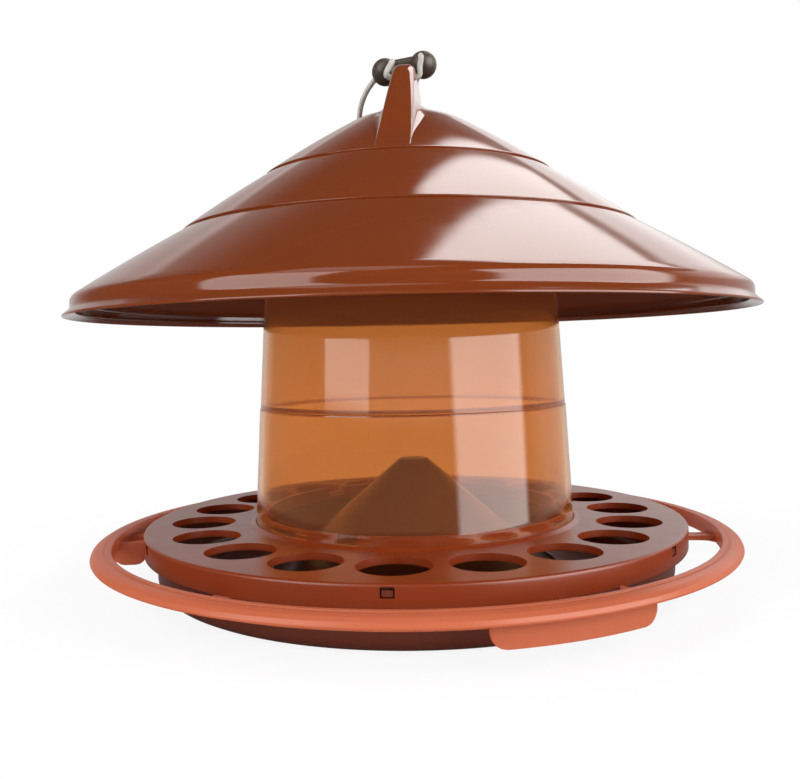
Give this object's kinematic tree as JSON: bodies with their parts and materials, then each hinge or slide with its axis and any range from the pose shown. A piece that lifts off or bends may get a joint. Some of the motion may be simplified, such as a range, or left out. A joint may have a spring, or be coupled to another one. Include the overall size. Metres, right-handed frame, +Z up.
{
  "type": "silo bird feeder",
  "caption": "Round bird feeder: clear two-part seed silo over a cone and a bowl, feed cover with round holes, perch ring, and a tiered conical rain roof with a fin and a hanging cord.",
  "frame": {"origin": "middle of the bowl's underside, which the feeder stands on", "axes": "+Z up along the silo's axis, -Y the front, along the roof's fin and through a feed hole"},
  "size_m": [0.33, 0.33, 0.2658],
  "materials": {
    "bowl_brown": "semi-gloss dark brown",
    "cone_brown": "semi-gloss dark brown",
    "cover_brown": "glossy red-brown",
    "perch_orange": "slightly translucent orange-brown",
    "lower_amber": "clear amber",
    "upper_amber": "clear amber",
    "roof_brown": "glossy brown",
    "toggle_black": "glossy black",
    "cord_white": "braided pale cord"
  },
  "bodies": {
    "base": {"seed_bowl": "bowl_brown", "seed_cone": "cone_brown", "tray_cover": "cover_brown", "perch_ring": "perch_orange"},
    "silo": {"lower_silo_tube": "lower_amber", "upper_silo_tube": "upper_amber"},
    "roof": {"roof": "roof_brown", "cord_toggle": "toggle_black", "eyelet_cord": "cord_white", "hanging_cord": "cord_white"}
  },
  "joints": [
    {"name": "silo_twist", "type": "hinge", "parent": "base", "child": "silo", "pos_m": [0, 0, 0.029], "axis": [0, 0, 1], "range_deg": [0, 20]},
    {"name": "roof_lift", "type": "slide", "parent": "silo", "child": "roof", "axis": [0, 0, 1], "range_m": [0, 0.09]}
  ]
}
